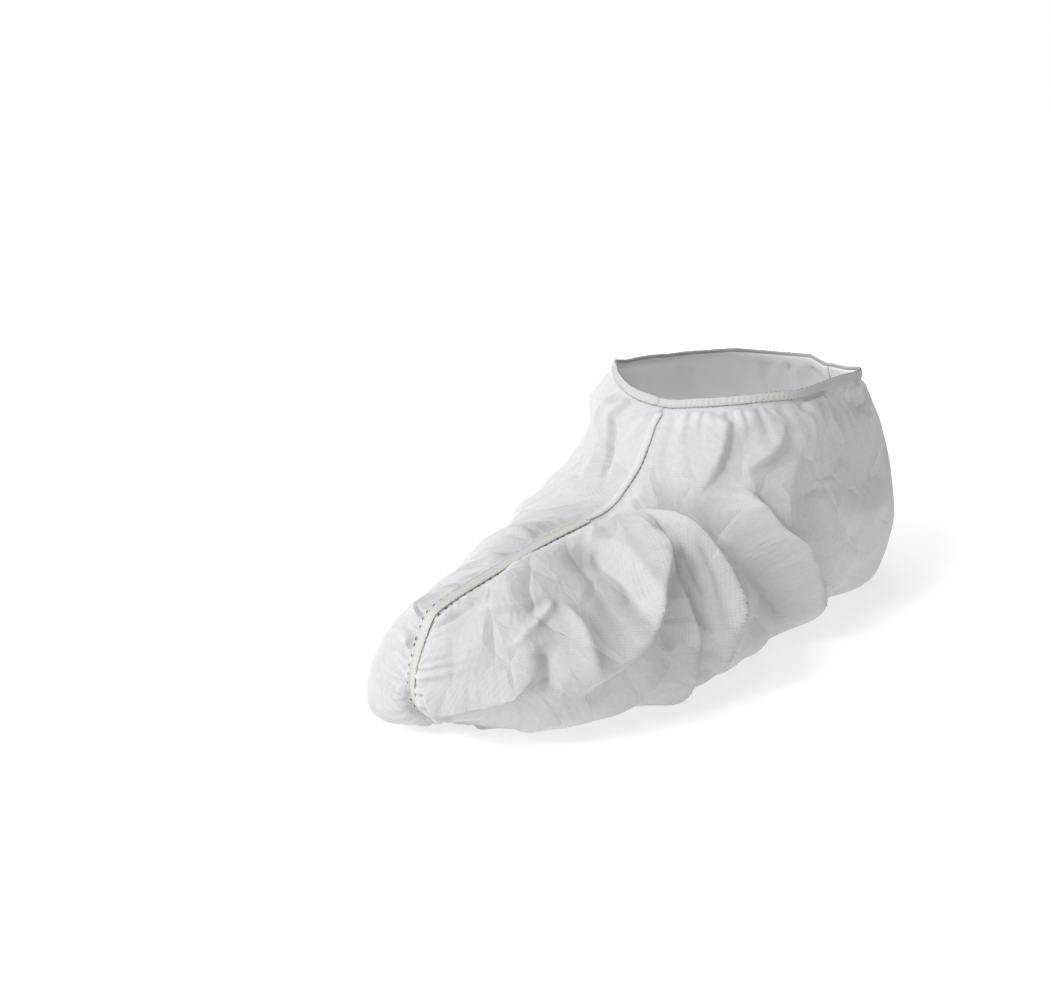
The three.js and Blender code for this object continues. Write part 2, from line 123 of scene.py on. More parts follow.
# A fold's route is a list of places [section, turn], the turn running from 0 on the instep seam to
# 1 on the sole seam. Its ridge rises from the cloth and leans over towards the heel, which it
# reaches down to more steeply than towards the toe. Crest is the roundness of the ridge, and start
# and end are the parts of its length over which it dies away.
FOLD = ["fold", "rise", "lean", "heel", "toe", "start", "end", "crest", "route"]
FOLDS = {
    "left": [
        ["crescent", 12, 4, 10, 34, 0.2, 0.5, 1.0,
         [[7.5, 0.06], [7.0, 0.15], [6.65, 0.24], [6.4, 0.32], [6.2, 0.39], [6.0, 0.46],
          [5.7, 0.52], [5.25, 0.6], [4.7, 0.7], [4.2, 0.8]]],
        ["behind_crescent", -14, 0, 26, 18, 0.25, 0.3, 5,
         [[8.1, 0.12], [7.8, 0.26], [7.55, 0.38], [7.35, 0.5], [7.1, 0.6], [6.7, 0.76]]],
        ["middle_ridge", 8, 3, 5, 16, 0.2, 0.25, 0.6,
         [[7.1, 0.08], [5.9, 0.21], [5.5, 0.31], [5.3, 0.42], [5.2, 0.49], [5.0, 0.56], [4.8, 0.68],
          [4.5, 0.82]]],
        ["side_bulge", 12, 4, 10, 40, 0.22, 0.35, 2.0,
         [[7.2, 0.06], [6.0, 0.16], [5.45, 0.25], [4.95, 0.32], [4.65, 0.37], [4.3, 0.41],
          [3.85, 0.45], [3.4, 0.49], [3.0, 0.54]]],
        ["crescent_lip", 4.5, 0.8, 4.5, 9, 0.15, 0.45, 0.5,
         [[7.5, 0.06], [7.0, 0.15], [6.65, 0.24], [6.4, 0.32], [6.2, 0.39], [6.0, 0.46],
          [5.7, 0.52], [5.25, 0.6], [4.7, 0.7]]],
        ["bulge_lip", 1.2, 0.8, 4, 6, 0.25, 0.3, 0.6,
         [[7.2, 0.06], [6.0, 0.16], [5.45, 0.25], [4.95, 0.32], [4.65, 0.37], [4.3, 0.41]]],
        ["lip_pleat", 2.2, 0.8, 2.5, 6, 0.2, 0.4, 0.3,
         [[7.0, 0.14], [6.35, 0.26], [6.05, 0.34], [5.8, 0.42], [5.6, 0.5], [5.3, 0.6]]],
        ["inner_pleat", 2, 0.8, 2.5, 5, 0.2, 0.4, 0.3,
         [[6.7, 0.15], [6.0, 0.27], [5.75, 0.36], [5.5, 0.45], [5.35, 0.53], [5.05, 0.64]]],
        ["short_pleat", 2.2, 0.5, 3, 5, 0.3, 0.5, 0.3, [[6.4, 0.2], [5.75, 0.3], [5.5, 0.38]]],
        ["outer_pleat", 2, 0, 5, 4, 0.3, 0.5, 0.4, [[8.0, 0.15], [7.7, 0.26], [7.5, 0.38]]],
        ["low_ridge", 4, 2, 5, 9, 0.3, 0.3, 0.6,
         [[5.1, 0.46], [4.8, 0.5], [4.5, 0.55], [4.1, 0.66], [3.8, 0.8]]],
        ["tape_hollow", -11, 0, 9, 24, 0.25, 0.35, 1.5,
         [[5.3, 0.08], [5.15, 0.15], [4.97, 0.22], [4.8, 0.28], [4.6, 0.35], [4.4, 0.41]]],
        ["toe_ridge", 3, 0, 4, 7, 0.3, 0.4, 0.3,
         [[3.75, 0.21], [3.5, 0.237], [2.95, 0.28], [2.7, 0.31]]],
        ["toe_step", 3.5, -1, 10, 4, 0.3, 0.3, 0.4,
         [[2.6, 0.1], [2.95, 0.15], [3.25, 0.185], [3.7, 0.215]]],
        ["toe_shoulder", 5.5, 0, 12, 14, 0.3, 0.4, 0.8,
         [[3.8, 0.2], [3.7, 0.33], [3.6, 0.42], [3.5, 0.5]]],
        ["toe_valley", -6, 0, 10, 10, 0.3, 0.3, 1.2, [[3.2, 0.31], [3.1, 0.4], [2.9, 0.5]]],
        ["toe_lip", 7, 7.5, 1.8, 13, 0.3, 0.2, 0.3,
         [[3.0, 0.4], [2.6, 0.425], [2.2, 0.44], [1.75, 0.45], [1.35, 0.44], [1.1, 0.38]]],
        ["toe_lump", 2, 0, 14, 16, 0.4, 0.4, 3, [[3.1, 0.6], [2.6, 0.7], [2.4, 0.84]]],
        ["heel_front", 11, 4, 8, 28, 0.25, 0.2, 0.6,
         [[9.6, 0.22], [8.85, 0.27], [8.5, 0.31], [8.2, 0.39], [8.15, 0.48], [7.9, 0.56],
          [7.6, 0.66], [7.3, 0.8]]],
        ["heel_crease", -1.4, 0, 3, 6, 0.4, 0.5, 0.5, [[9.5, 0.36], [9.8, 0.44], [10, 0.52]]],
        ["heel_shelf", 2.5, 0, 24, 20, 0.4, 0.4, 3,
         [[9.1, 0.44], [9.5, 0.52], [9.8, 0.62], [9.9, 0.74]]],
        ["collar_pleat_a", 6, 1, 4, 18, 0.15, 0.4, 0.3,
         [[12, 0.215], [11.4, 0.2], [10.4, 0.18], [9.4, 0.165], [8.4, 0.15]]],
        ["collar_pleat_b", 5.5, 1, 4, 15, 0.35, 0.4, 0.3,
         [[12, 0.4], [11, 0.33], [10.4, 0.28], [9.5, 0.22]]],
        ["collar_pleat_c", 3.5, 0.5, 3.5, 12, 0.3, 0.5, 0.3, [[12, 0.5], [11.2, 0.46], [10.4, 0.43]]],
    ],
    "right": [
        ["front_pleat", -6, 1, 4, 4, 0.1, 0.4, 0.3,
         [[12, 0.12], [10.8, 0.105], [9.7, 0.09], [8.8, 0.067], [7.6, 0.03]]],
        ["beside_pleat", 5, 0, 6, 12, 0.1, 0.4, 0.8,
         [[12, 0.19], [10.5, 0.16], [8.8, 0.12], [7.5, 0.09]]],
        ["crescent", 4, 3, 12, 32, 0.4, 0.3, 1.5,
         [[7.2, 0.24], [6.9, 0.36], [6.4, 0.47], [5.4, 0.64]]],
        ["side_bulge", 8, 3, 10, 34, 0.4, 0.3, 1.5,
         [[5.2, 0.3], [4.8, 0.4], [4.3, 0.49], [3.4, 0.62]]],
        ["heel_shelf", 4, 0, 20, 9, 0.4, 0.4, 2, [[8.8, 0.4], [9.6, 0.43], [10.2, 0.56]]],
        ["toe_lump", 4, 0, 14, 16, 0.4, 0.4, 3, [[3.1, 0.6], [2.6, 0.7], [2.4, 0.84]]],
    ],
}

# The opening's edge isn't quite the sections' last row: how far it stands above and inside that,
# by the turn round each side. The wearer's right side is the more uneven one.
RIM = table(["turn", "left_rise", "right_rise", "left_in", "right_in"], [
    [0, 4.5, 4.5, 0, 0],
    [0.1, 7, 5, 0, 0],
    [0.2, 8, 7, 0, 1.5],
    [0.3, 8, 8.3, 0, 3.5],
    [0.36, 7, 8.2, 0, 2.5],
    [0.42, 5.5, 5.2, 0, 2.5],
    [0.47, 4.5, 3.2, 0, 2.5],
    [0.52, 3, 0.6, 0, 1],
    [0.6, 1.5, -2, 0, 0],
    [0.68, 0, -0.8, 0, 0],
    [0.75, 0, 1.5, 0, 0],
    [0.85, 0, 2, 0, 0],
    [0.95, -1.6, 3, 0, 0],
    [1, -1, -1, 0, 0],
])
RIM_FROM = 8.5
# The seam rounds the toe's upper corner: how near to it the cloth is drawn in, and how much.
TOE_BEND = 6.0
TOE_PULL = 0.7

# Gathers run away from a seam that is shorter than the cloth. The short ones join into longer and
# broader ones further off: each row is their pitch, their height and how far they reach.
GATHERS = {
    "tape": [[4.6, 0.9, 6], [9, 0.9, 9], [17, 0.8, 14]],
    "far_tape": [[5, 0.6, 6], [12, 1.3, 16]],
    "toe": [[3.8, 2.6, 9], [8, 2.2, 20]],
    "collar": [[4.5, 0.7, 7], [8, 1.1, 14], [15, 1.5, 30]],
}
# Flat facets with creases between them: their size, how much longer they are down the side of the
# shoe than along it, and how far they stand out. The creases are then evened out a little.
FACETS = [[30, 1.3, 3.8], [12, 1.5, 0.45], [5.5, 1.3, 0.15]]
CREASE_ROUNDS = 4
COLLAR_FOOT = SECTIONS.index("collar_foot")

# The cloth's own mesh: rows from the toe seam to the collar's foot and on to the rim, and columns
# round the side.
COARSER = 1
ROWS = 300 // COARSER
RIM_ROWS = 5
TURNS = np.linspace(0, 1, 140 // COARSER + 1) ** 1.1
COLUMNS = len(TURNS)


def along(column, place):
    """The smooth value of a table's column at places counted in rows."""
    last = len(column) - 1
    ends = np.concatenate([[2 * column[0] - column[1]], column, [2 * column[-1] - column[-2]]])
    i = np.minimum(np.floor(place).astype(int), last - 1)
    t = place - i
    a, b, c, d = (ends[i + k] for k in range(4))
    return b + 0.5 * t * (c - a + t * (2 * a - 5 * b + 4 * c - d + t * (3 * b - a - 3 * c + d)))


def smooth(value):
    t = np.clip(value, 0, 1)
    return t * t * (3 - 2 * t)


def swollen(sections, s, turn):
    """Points of the +X panel's outer face before its folds."""
    at = {name: along(column, s) for name, column in sections.items()}
    top = np.stack([along(SEAM["top_y"], s), along(SEAM["top_z"], s)], -1)
    chord = np.stack([along(SEAM["foot_y"], s), along(SEAM["foot_z"], s)], -1) - top
    height = np.linalg.norm(chord, axis=-1)
    down = chord / height[..., None]
    roundness = np.where(turn < 0.5, at["upper"], at["lower"])
    out = np.maximum(np.sin(np.pi * turn), 0) ** (2 / roundness)
    fall = np.abs(np.cos(np.pi * turn)) ** (2 / roundness)
    widest = at["widest"]
    depth = np.where(turn < 0.5, widest * (1 - fall), widest + (1 - widest) * fall)
    beside = out * (at["width"] - SEAM_BAND)
    rise = 1 - np.exp(-((beside / PUFF_REACH) ** 2))
    puff_top = at["puff_top"] * rise * np.maximum(1 - PUFF_SPAN * depth, 0)
    puff_foot = at["puff_foot"] * rise * np.maximum(1 - PUFF_SPAN * (1 - depth), 0)
    bow = at["bow"] * np.sin(np.pi * depth ** at["bow_low"])
    drop = height * depth - puff_top + puff_foot
    y = top[..., 0] + down[..., 0] * drop + down[..., 1] * bow
    z = top[..., 1] + down[..., 1] * drop - down[..., 0] * bow
    return np.stack([SEAM_BAND + beside, y, np.maximum(z, 0)], -1)


def outward(grid):
    """Unit normals of a panel's grid, out of the cover."""
    normal = np.cross(np.gradient(grid, axis=1), np.gradient(grid, axis=0))
    normal[0] = normal[1]
    return normal / np.maximum(np.linalg.norm(normal, axis=-1, keepdims=True), 1e-9)


def fold_shift(fold, sections, grid, normals):
    """How far a fold moves each point of the unfolded cloth."""
    knots = np.array(fold["route"], float)
    steps = np.linspace(0, len(knots) - 1, FOLD_STEPS + 1)
    line = swollen(sections, along(knots[:, 0], steps), along(knots[:, 1], steps))
    nearest = np.full(grid.shape[:2], np.inf)
    shift = np.zeros(grid.shape)
    for k in range(FOLD_STEPS):
        forward = line[k + 1] - line[k]
        part = np.clip((grid - line[k]) @ forward / (forward @ forward), 0, 1)
        offset = grid - line[k] - part[..., None] * forward
        distance = np.linalg.norm(offset, axis=-1)
        to_heel = np.cross(normals, forward / np.linalg.norm(forward))
        reach = np.where(np.sum(to_heel * offset, -1) > 0, fold["heel"], fold["toe"])
        crest = fold["crest"]
        soft = np.sqrt(distance**2 + crest**2) - crest
        spread = np.minimum(soft / (np.sqrt(reach**2 + crest**2) - crest), 1)
        passed = (k + part) / FOLD_STEPS
        height = (1 - spread) ** 2 * smooth(passed / fold["start"]) * smooth((1 - passed) / fold["end"])
        here = height[..., None] * (fold["rise"] * normals + fold["lean"] * to_heel)
        closer = (distance < nearest)[..., None]
        nearest = np.minimum(distance, nearest)
        shift = np.where(closer, here, shift)
    return shift


def facets(across, down, size, longer, height, random):
    """Heights of a crumpled sheet: flat triangles that meet in creases."""
    slant = random.uniform(0.4, 0.8) * random.choice([-1, 1])
    place = np.stack([across / size + slant * down / size / longer,
                      down / size / longer - slant * across / size], -1)
    start = random.uniform(0, math.tau, (2, 2))
    place = (place + 0.45 * np.sin(1.3 * place[..., ::-1] + start[0])
             + 0.2 * np.sin(2.9 * place[..., ::-1] + start[1]))
    place -= place.min((0, 1))
    i, j = np.moveaxis(np.floor(place).astype(int), -1, 0)
    x, y = np.moveaxis(place % 1, -1, 0)
    heights = height * random.uniform(-1, 1, (i.max() + 2, j.max() + 2))
    turned = random.integers(0, 2, heights.shape)[i, j] == 1
    x = np.where(turned, 1 - x, x)
    first, second = np.where(turned, i + 1, i), np.where(turned, i, i + 1)
    a, b, c, d = heights[first, j], heights[second, j], heights[first, j + 1], heights[second, j + 1]
    return np.where(x > y, a + x * (b - a) + y * (d - b), a + y * (c - a) + x * (d - c))


def gathered(far, distance, sizes, random):
    """Heights of the puffs between pinches, along a seam and away from it."""
    result = np.zeros(far.shape)
    for pitch, height, reach in sizes:
        knots = random.normal(size=int(far.max() / pitch * 2) + 5)
        wave = along(knots, far / pitch * 2)
        fades = (1 - np.exp(-distance / 1.5)) * np.exp(-((distance / reach) ** 2))
        result += height * (np.sqrt(wave**2 + 0.02) - 0.6) * fades
    return result


def lengths(grid, axis):
    """How far each of a grid's points lies along its own line."""
    gaps = np.linalg.norm(np.diff(grid, axis=axis), axis=-1)
    return np.concatenate([np.zeros_like(gaps.take([0], axis)), np.cumsum(gaps, axis)], axis)


def laid_flat(grid):
    """Places of a panel's points on its cloth laid flat. Each row starts on the instep seam and
    keeps its length; where it turns inwards it goes on towards the sole seam."""
    steps = np.diff(grid, axis=1)
    chord = grid[:, -1:, 1:] - grid[:, :1, 1:]
    chord /= np.linalg.norm(chord, axis=-1, keepdims=True)
    course = steps[..., 1:] + np.abs(steps[..., :1]) * chord
    course /= np.linalg.norm(course, axis=-1, keepdims=True)
    course *= np.linalg.norm(steps, axis=-1, keepdims=True)
    flat = np.concatenate([grid[:, :1, 1:], grid[:, :1, 1:] + np.cumsum(course, 1)], 1)
    return flat - flat.min((0, 1))


def evened(values):
    """A grid's values, those inside its border drawn halfway to the mean of their neighbours."""
    result = values.copy()
    result[1:-1, 1:-1] = values[1:-1, 1:-1] / 2 + (
        values[:-2, 1:-1] + values[2:, 1:-1] + values[1:-1, :-2] + values[1:-1, 2:]) / 8
    return result


def even_places(sections):
    """The grid's sections and turns, with its rows evenly spaced along each column."""
    fine = np.linspace(0, COLLAR_FOOT, 400)
    far = lengths(swollen(sections, *np.meshgrid(fine, TURNS, indexing="ij")), 0)
    parts = np.linspace(0, 1, ROWS - RIM_ROWS)
    places = np.stack([np.interp(parts * far[-1, j], far[:, j], fine) for j in range(COLUMNS)], 1)
    collar = COLLAR_FOOT + np.arange(1, RIM_ROWS + 1) / RIM_ROWS
    places = np.concatenate([places, np.repeat(collar[:, None], COLUMNS, 1)])
    return places, np.repeat(TURNS[None], ROWS, 0)


def folded_panel(name, seed):
    """A panel's points, with the section of each and its place on the cloth laid flat."""
    sections = PANEL_SECTIONS[name]
    random = np.random.default_rng(seed)
    s, turn = even_places(sections)
    grid = swollen(sections, s, turn)
    near_rim = smooth((s - RIM_FROM) / (COLLAR_FOOT - RIM_FROM))
    grid[..., 2] += near_rim * np.interp(turn, RIM["turn"], RIM[f"{name}_rise"])
    grid[..., 0] -= near_rim * np.interp(turn, RIM["turn"], RIM[f"{name}_in"])
    corner = grid[0, 0]
    off = np.linalg.norm(grid - corner, axis=-1, keepdims=True)
    above, ahead = grid[:, 0][off[:, 0, 0] < TOE_BEND], grid[0][off[0, :, 0] < TOE_BEND]
    inward = (above.mean(0) + ahead.mean(0)) / 2 - corner
    grid = grid + TOE_PULL * inward * np.exp(-((off / TOE_BEND) ** 2))
    normals = outward(grid)
    shift = sum(fold_shift(dict(zip(FOLD, fold)), sections, grid, normals) for fold in FOLDS[name])
    beside = grid[..., 0] - SEAM_BAND
    free = smooth(beside / FOLD_MARGIN) * smooth((COLLAR_FOOT - s) / COLLAR_MARGIN)

    across, down = lengths(grid, 0), lengths(grid, 1)
    flat = laid_flat(grid)
    below = np.linalg.norm(grid - grid[-RIM_ROWS - 1], axis=-1) * (s < COLLAR_FOOT)
    from_top = np.linalg.norm(grid - grid[:, :1], axis=-1)
    from_front = np.linalg.norm(grid - grid[:1], axis=-1)
    taped = smooth((6.4 - s) / 0.8)
    crinkles = gathered(down[-1:] + 0 * s, below, GATHERS["collar"], random)
    crinkles += gathered(down[:1] + 0 * s, from_front, GATHERS["toe"], random)
    tape_side = GATHERS["tape" if name == "left" else "far_tape"]
    crinkles += taped * gathered(across[:, :1] + 0 * s, from_top, tape_side, random)
    lines = np.minimum(np.minimum(from_top, from_front), below)
    slack = smooth((0.97 - turn) / 0.3) * (0.45 + 0.55 * smooth((s - 3) / 2.5))
    creased = sum(facets(*np.moveaxis(flat, -1, 0), *facet, random) for facet in FACETS)
    for _ in range(CREASE_ROUNDS):
        creased = evened(creased)
    crinkles += creased * smooth(lines / 12) * slack
    crinkles *= smooth(beside / (4 + 5 * smooth((s - 1) / 1.5))) * smooth((COLLAR_FOOT - s) / 0.05)
    shape = grid + shift * free[..., None] + normals * crinkles[..., None]
    shape[:-RIM_ROWS] = evened(shape[:-RIM_ROWS])
    shape[..., 0] = np.maximum(shape[..., 0], SEAM_BAND)
    shape[..., 2] = np.maximum(shape[..., 2], 0)
    return shape, s, flat


def border_points(grid):
    """Round the instep, toe, sole and heel, from rim to rim."""
    return np.concatenate([grid[:0:-1, 0], grid[0, :-1], grid[:, -1]])


def panel_mesh(name, grid, flat, side):
    """The panel's grid with its seam allowance, turned to the middle."""
    number = np.arange(ROWS * COLUMNS).reshape(ROWS, COLUMNS)
    quads = np.stack([number[:-1, :-1], number[:-1, 1:], number[1:, 1:], number[1:, :-1]], -1)
    border = border_points(number)
    edge = border_points(grid).copy()
    edge[:, 0] = EDGE_GAP
    outer = ROWS * COLUMNS + np.arange(len(border))
    hem = np.stack([outer[:-1], outer[1:], border[1:], border[:-1]], -1)
    faces = np.concatenate([quads.reshape(-1, 4), hem])
    points = np.concatenate([grid.reshape(-1, 3), edge])
    places = np.concatenate([flat.reshape(-1, 2), border_points(flat)])
    if side < 0:
        points = points * [-1, 1, 1]
        faces = faces[:, ::-1]
    return make_piece(name, points, faces.tolist(), places / SHEET)


def make_piece(name, points, faces, places=None):
    """A smooth mesh object, with its places on the flat cloth as its UV map."""
    mesh = bpy.data.meshes.new(name)
    mesh.from_pydata(((points + MIDDLE) / 1000).tolist(), [], faces)
    if places is not None:
        corners = np.zeros(len(mesh.loops), int)
        mesh.loops.foreach_get("vertex_index", corners)
        mesh.uv_layers.new(name="cloth").data.foreach_set("uv", places[corners].ravel())
    piece = bpy.data.objects.new(name, mesh)
    bpy.context.scene.collection.objects.link(piece)
    mesh.polygons.foreach_set("use_smooth", [True] * len(mesh.polygons))
    mesh.update()
    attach(piece, "root")
    return piece


class Socket:
    """A node's output that Python's operators reckon with, by adding Math nodes."""

    def __init__(self, tree, output=None):
        self.tree, self.output = tree, output

    def node(self, kind, settings, inputs, output=0):
        """An output of a new node. Its settings are set before its inputs, which are other
        sockets or values."""
        made = self.tree.nodes.new(kind)
        for name, value in settings.items():
            setattr(made, name, value)
        for name, value in inputs.items():
            if isinstance(value, Socket):
                self.tree.links.new(value.output, made.inputs[name])
            else:
                made.inputs[name].default_value = value
        return Socket(self.tree, made.outputs[output])

    def maths(self, operation, *values):
        return self.node("ShaderNodeMath", {"operation": operation}, dict(enumerate(values)))

    def __add__(self, other):
        return self.maths("ADD", self, other)

    def __mul__(self, other):
        return self.maths("MULTIPLY", self, other)

    def __sub__(self, other):
        return self.maths("SUBTRACT", self, other)

    def __rsub__(self, other):
        return self.maths("SUBTRACT", other, self)

    __radd__, __rmul__ = __add__, __mul__

    def mixed(self, first, second):
        """One colour turned into another by this value."""
        factor, first_colour, second_colour, result = 0, 6, 7, 2
        return self.node("ShaderNodeMix", {"data_type": "RGBA"},
                         {factor: self, first_colour: (*first, 1), second_colour: (*second, 1)},
                         result)


def new_material(name, **constants):
    """A material, with its Principled shader's constant sockets set, and its node tree."""
    made = bpy.data.materials.new(name)
    made.use_nodes = True
    shader = made.node_tree.nodes["Principled BSDF"]
    for socket, value in constants.items():
        shader.inputs[socket.replace("_", " ")].default_value = value
    return made, shader, Socket(made.node_tree)


def feed(shader, socket, value):
    value.tree.links.new(value.output, shader.inputs[socket])


def embossed(place):
    """1 on the embossed lines across one direction of the cloth, falling to 0 beside them."""
    beside = place.maths("PINGPONG", place * (1 / GRID_PITCH), 0.5) * GRID_PITCH
    return beside.node("ShaderNodeMapRange", {"interpolation_type": "SMOOTHSTEP"},
                       {"Value": beside, "From Min": GRID_LINE, "From Max": 0.0})


def crumpled(place, size):
    """The height of a crumpled sheet: flat facets that meet in crisp creases."""
    nearest, second = (place.node("ShaderNodeTexVoronoi", {"feature": feature},
                                  {"Vector": place, "Scale": 1 / size}, "Distance")
                       for feature in ("F1", "F2"))
    return (second * second - nearest * nearest) * size


fabric, shader, start = new_material(
    "nonwoven_fabric", Roughness=0.62, Subsurface_Weight=1.0, Subsurface_Radius=(1, 1, 1),
    Subsurface_Scale=0.0005)
cloth_place = start.node("ShaderNodeUVMap", {"uv_map": "cloth"}, {})
sheet_place = start.node("ShaderNodeVectorMath", {"operation": "MULTIPLY"},
                         {0: cloth_place, 1: (SHEET, SHEET, 0)})
long_way = start.node("ShaderNodeSeparateXYZ", {}, {0: sheet_place}, 0)
round_way = start.node("ShaderNodeSeparateXYZ", {}, {0: sheet_place}, 1)
waver = start.node("ShaderNodeTexNoise", {}, {"Vector": sheet_place, "Scale": 0.08, "Detail": 2.0}) * 1.5
lines = start.maths("MAXIMUM", embossed(long_way + waver), embossed(round_way + waver))
faint = start.node("ShaderNodeTexNoise", {}, {"Vector": sheet_place, "Scale": 0.3, "Detail": 3.0})
worn = start.node("ShaderNodeMapRange", {}, {"Value": faint, "From Min": 0.4, "From Max": 0.65})
lines = lines * (worn * 0.85 + 0.15)
fibres = start.node("ShaderNodeTexNoise", {}, {"Vector": sheet_place, "Scale": 0.9, "Detail": 4.0,
                                               "Roughness": 0.6})
crinkle = start.node("ShaderNodeTexNoise", {}, {"Vector": sheet_place, "Scale": 0.16, "Detail": 3.0})
feed(shader, "Base Color", (lines * 0.45 + fibres * 0.3).mixed(FABRIC_COLOUR, FABRIC_LINES))
broad = start.node("ShaderNodeTexNoise", {}, {"Vector": sheet_place, "Scale": 0.04}, "Color")
bent = start.node("ShaderNodeVectorMath", {"operation": "MULTIPLY_ADD"},
                  {0: broad, 1: (12, 12, 0), 2: sheet_place})
height = (crinkle * 0.08 + crumpled(bent, 26) * 0.11 - crumpled(bent, 11) * 0.04
          + fibres * 0.08 - lines * 0.06)
feed(shader, "Normal", start.node("ShaderNodeBump", {}, {"Height": height, "Distance": 0.001,
                                                          "Strength": 0.6}))

# The inner face is the laminate's film, but its much lighter white than the outer face is partly painted
# light, standing for light that comes through the cloth into the cover.
film, _, _ = new_material(
    "inner_film_and_painted_light", Base_Color=(0.86, 0.86, 0.865, 1), Roughness=1.0, Subsurface_Weight=1.0,
    Subsurface_Radius=(1, 1, 1), Subsurface_Scale=0.0006)

grids, sections_of = {}, {}
for side, name, seed in ((1, "left", 3), (-1, "right", 8)):
    grids[name], sections_of[name], flat = folded_panel(name, seed)
    cloth = panel_mesh(f"{name}_cloth", grids[name], flat, side)
    thickness = cloth.modifiers.new("thickness", "SOLIDIFY")
    thickness.thickness = FABRIC_THICKNESS / 1000
    thickness.offset = -1
    thickness.material_offset = 1
    cloth.data.materials.append(fabric)
    cloth.data.materials.append(film)
    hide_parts(f"{name}_panel")

# ---------------------------------------------------------------------------------------------
# The front seam. The two panels' fabric edges are turned to one side and stitched through. That
# leaves a narrow padded welt down the instep, with the needle's holes along the wearer's left.
WELT_WIDTH = 3.6
WELT_HEIGHT = 1.35
STITCH_PITCH = 3.3
STEP = 0.3


def seam_line():
    """The seam in the plane of symmetry, as its places y and z every STEP, and how far along it
    each section lies: down the instep as top, and back under the sole as foot."""
    grid = grids["left"]
    places = border_points(grid)[:, 1:]
    far = np.concatenate([[0], np.cumsum(np.linalg.norm(np.diff(places, axis=0), axis=1))])
    top = dict(zip(sections_of["left"][::-1, 0], far[:ROWS]))
    foot = dict(zip(sections_of["left"][:, -1], far[-ROWS:]))
    return places, far, top, foot


SEAM_PLACES, SEAM_FAR, ALONG_TOP, ALONG_FOOT = seam_line()


def at_section(table_of, section):
    keys = np.array(sorted(table_of))
    return float(np.interp(section, keys, [table_of[k] for k in keys]))


def seam_path(first, last):
    """Points on the seam between two distances along it, with the direction out of the cloth."""
    far = np.arange(first, last, STEP)
    y, z = (np.interp(far, SEAM_FAR, SEAM_PLACES[:, k]) for k in (0, 1))
    for _ in range(60):
        y[1:-1] = (y[:-2] + 2 * y[1:-1] + y[2:]) / 4
        z[1:-1] = (z[:-2] + 2 * z[1:-1] + z[2:]) / 4
    run = np.stack([np.gradient(y), np.gradient(z)], -1)
    run /= np.linalg.norm(run, axis=1, keepdims=True)
    path = np.stack([np.zeros_like(y), y, z], -1)
    out = np.stack([np.zeros_like(y), run[:, 1], -run[:, 0]], -1)
    return far, path, out


def sweep(name, path, across, out, profile):
    """A closed body along a path. The profile is (stations, corners, 2): across and out."""
    rings = (path[:, None] + profile[..., :1] * across[:, None] + profile[..., 1:] * out[:, None])
    count, corners = profile.shape[:2]
    number = np.arange(count * corners).reshape(count, corners)
    turned = np.roll(number, -1, 1)
    faces = np.stack([number[:-1], turned[:-1], turned[1:], number[1:]], -1).reshape(-1, 4).tolist()
    faces += [number[0, ::-1].tolist(), number[-1].tolist()]
    return make_piece(name, rings.reshape(-1, 3), faces)


def beads(name, centres, run, out, sizes):
    """Small closed lenses. Sizes are half their length, width and height, one row each."""
    side = np.cross(run, out)
    corners = np.array([[math.cos(math.tau * k / 8), math.sin(math.tau * k / 8), 0] for k in range(8)]
                       + [[0, 0, 1], [0, 0, -1]])
    scaled = corners * sizes[:, None]
    points = (centres[:, None] + scaled[..., :1] * run[:, None] + scaled[..., 1:2] * side[:, None]
              + scaled[..., 2:] * out[:, None])
    each = [[k, (k + 1) % 8, 8] for k in range(8)] + [[(k + 1) % 8, k, 9] for k in range(8)]
    faces = np.array(each) + 10 * np.arange(len(centres))[:, None, None]
    return make_piece(name, points.reshape(-1, 3), faces.reshape(-1, 3).tolist())


def marked_line(pitch, path, out, across, jitter, seed):
    """Places along a path at a pitch, moved across it, with their run and outward directions."""
    random = np.random.default_rng(seed)
    at = np.arange(pitch, (len(path) - 2) * STEP, pitch)
    at += random.uniform(-jitter, jitter, len(at))
    number = np.clip((at / STEP).astype(int), 1, len(path) - 2)
    run = path[number + 1] - path[number - 1]
    run /= np.linalg.norm(run, axis=1, keepdims=True)
    side = np.cross(out[number], run)
    return path[number] + side * across[number][:, None], run, out[number], random


far, path, out = seam_path(at_section(ALONG_TOP, 11.75), at_section(ALONG_TOP, 6.3))
across = np.tile([1.0, 0, 0], (len(far), 1))
section = np.array([[1, -0.15], [1, 0.45], [0.84, 0.8], [0.5, 0.96], [0.1, 1], [-0.4, 0.93],
                    [-0.85, 0.75], [-1.3, 0.45], [-1.75, 0.12], [-1.95, -0.15]])
profile = np.tile(section * [WELT_WIDTH / 2, WELT_HEIGHT], (len(far), 1, 1))
profile[..., 0] += (0.25 * np.sin(far / 9) + 0.1 * np.sin(far / 3.1))[:, None]
profile[..., 1] *= (1 + 0.05 * np.sin(2 * np.pi * far / 3.4) + 0.06 * np.sin(far / 2.3))[:, None]
welt = sweep("front_welt", path, across, out, profile)
welt.data.materials.append(fabric)
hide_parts("front_seam")

# Near-black lenses are painted shade. Beside the welt they stand for the dark insides of the needle's
# holes, one per stitch.
shadow, _, _ = new_material("needle_hole_shadow", Base_Color=(0.09, 0.088, 0.08, 1), Roughness=1.0)
spots, run, lift, random = marked_line(
    STITCH_PITCH, path, out, np.full(len(path), WELT_WIDTH / 2 + 0.1), 0.3, 4)
holes = beads("welt_needle_holes", spots + lift * 0.35, run, lift,
              np.stack([random.uniform(0.3, 0.75, len(spots)), random.uniform(0.2, 0.35, len(spots)),
                        np.full(len(spots), 0.2)], -1))
holes.data.materials.append(shadow)

